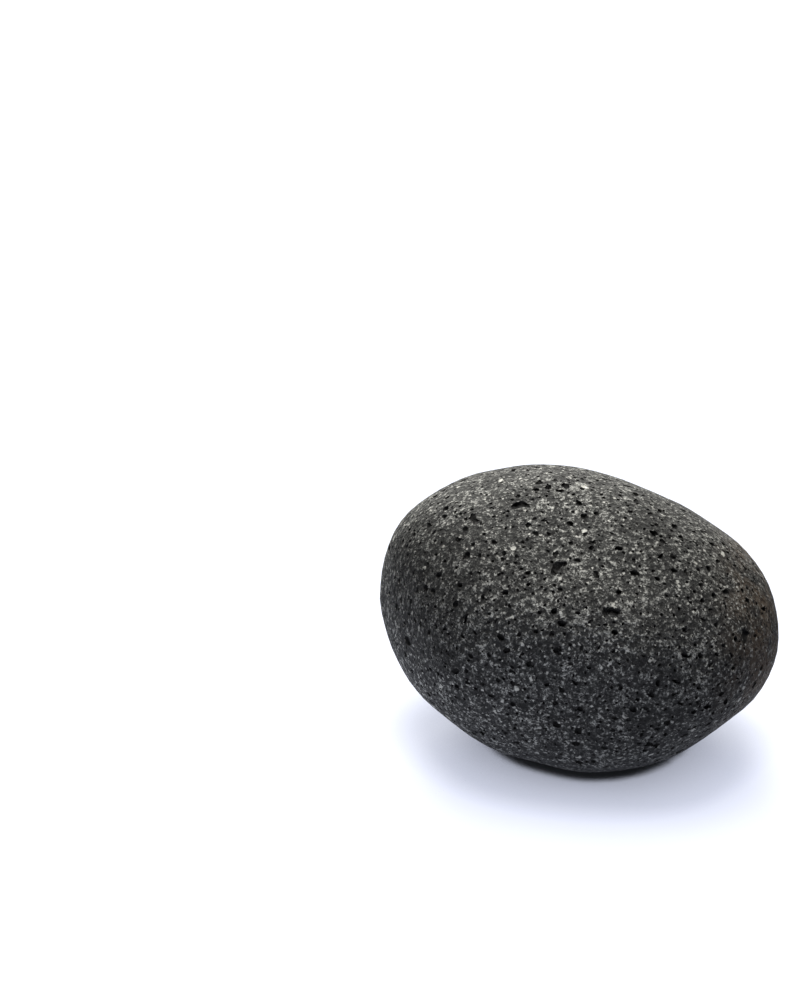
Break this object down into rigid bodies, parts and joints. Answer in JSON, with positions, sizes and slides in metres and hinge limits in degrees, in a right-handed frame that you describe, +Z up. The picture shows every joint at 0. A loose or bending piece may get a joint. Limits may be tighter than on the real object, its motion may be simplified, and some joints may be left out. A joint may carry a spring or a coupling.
{
  "type": "lava rock",
  "caption": "Rounded, tumbled pebble of dark vesicular basalt that lies on a worn flat seat, for display, planting or aquarium layouts.",
  "frame": {"origin": "on the ground, under the middle of the stone's box", "axes": "+X along the stone's length towards its narrow end, -Y towards its front, +Z up from the flat seat"},
  "size_m": [0.103, 0.0838, 0.0717],
  "materials": {
    "basalt": "matte"
  },
  "bodies": {
    "root": {"lava_rock": "basalt"}
  },
  "joints": []
}
